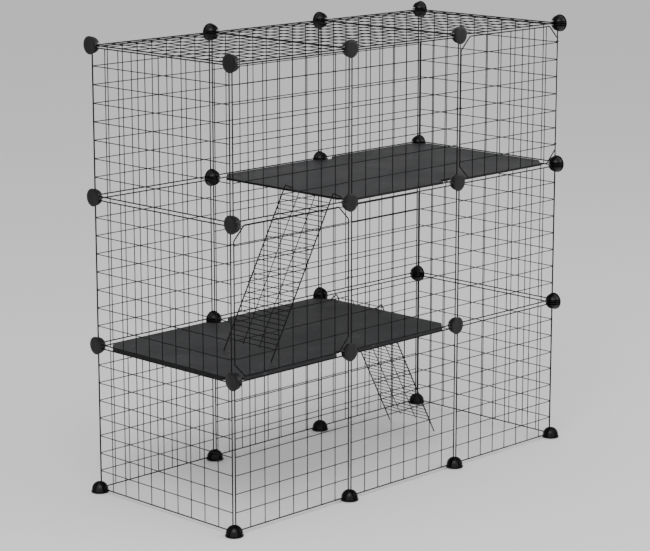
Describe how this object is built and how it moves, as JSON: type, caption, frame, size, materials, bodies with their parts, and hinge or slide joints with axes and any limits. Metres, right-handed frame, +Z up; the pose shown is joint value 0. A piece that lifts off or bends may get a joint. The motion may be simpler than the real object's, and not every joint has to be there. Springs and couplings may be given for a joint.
{
  "type": "small animal cage",
  "caption": "Modular wire mesh cage for small animals with stacked storeys, plastic deck boards, wire ramps, a mesh roof and hinged doors.",
  "frame": {"origin": "on the floor, below the middle of the cage's footprint", "axes": "+Z up, +X along the row of three cells with the cage seen from its front, and the front faces -Y"},
  "size_m": [1.09, 0.48, 1.0239],
  "materials": {
    "panel_wire": "satin black powder coat",
    "door_wire": "satin black powder coat",
    "ramp_wire": "satin black powder coat",
    "clip_wire": "satin black paint",
    "connector_plastic": "moulded, slightly shiny",
    "board_plastic": "extruded fluted sheet, matt"
  },
  "bodies": {
    "cage": {"front_panel_bottom_left": "panel_wire", "back_panel_bottom_left": "panel_wire", "front_panel_bottom_centre": "panel_wire", "back_panel_bottom_centre": "panel_wire", "front_panel_bottom_right": "panel_wire", "back_panel_bottom_right": "panel_wire", "left_panel_bottom": "panel_wire", "right_panel_bottom": "panel_wire", "back_panel_middle_left": "panel_wire", "front_panel_middle_centre": "panel_wire", "back_panel_middle_centre": "panel_wire", "front_panel_middle_right": "panel_wire", "back_panel_middle_right": "panel_wire", "left_panel_middle": "panel_wire", "right_panel_middle": "panel_wire", "front_panel_top_left": "panel_wire", "back_panel_top_left": "panel_wire", "front_panel_top_centre": "panel_wire", "back_panel_top_centre": "panel_wire", "back_panel_top_right": "panel_wire", "left_panel_top": "panel_wire", "right_panel_top": "panel_wire", "roof_panel_left": "panel_wire", "roof_panel_centre": "panel_wire", "roof_panel_right": "panel_wire", "floor_connectors": "connector_plastic", "lower_deck_corner_connectors": "connector_plastic", "lower_deck_side_connectors": "connector_plastic", "upper_deck_corner_connectors": "connector_plastic", "upper_deck_side_connectors": "connector_plastic", "roof_corner_connectors": "connector_plastic", "roof_side_connectors": "connector_plastic", "lower_deck_board": "board_plastic", "upper_deck_board": "board_plastic", "left_door_hinge_rings": "clip_wire", "right_door_hinge_rings": "clip_wire"},
    "left_door": {"left_door": "door_wire"},
    "right_door": {"right_door": "door_wire"},
    "left_latch": {"left_door_latch": "clip_wire"},
    "right_latch": {"right_door_latch": "clip_wire"},
    "lower_ramp": {"lower_ramp": "ramp_wire"},
    "upper_ramp": {"upper_ramp": "ramp_wire"}
  },
  "joints": [
    {"name": "left_door_hinge", "type": "hinge", "parent": "cage", "child": "left_door", "pos_m": [-0.5197, -0.22, 0.5045], "axis": [0, 0, -1], "range_deg": [0, 165]},
    {"name": "right_door_hinge", "type": "hinge", "parent": "cage", "child": "right_door", "pos_m": [0.5197, -0.22, 0.8375], "axis": [0, 0, 1], "range_deg": [0, 165]},
    {"name": "left_latch_turn", "type": "hinge", "parent": "left_door", "child": "left_latch", "pos_m": [-0.1803, -0.22, 0.5068], "axis": [0, 0, -1], "range_deg": [0, 100]},
    {"name": "right_latch_turn", "type": "hinge", "parent": "right_door", "child": "right_latch", "pos_m": [0.1803, -0.22, 0.8398], "axis": [0, 0, 1], "range_deg": [0, 100]},
    {"name": "lower_ramp_lift", "type": "slide", "parent": "cage", "child": "lower_ramp", "axis": [0, 0, 1], "range_m": [0, 0.05]},
    {"name": "upper_ramp_lift", "type": "slide", "parent": "cage", "child": "upper_ramp", "axis": [0, 0, 1], "range_m": [0, 0.05]}
  ]
}
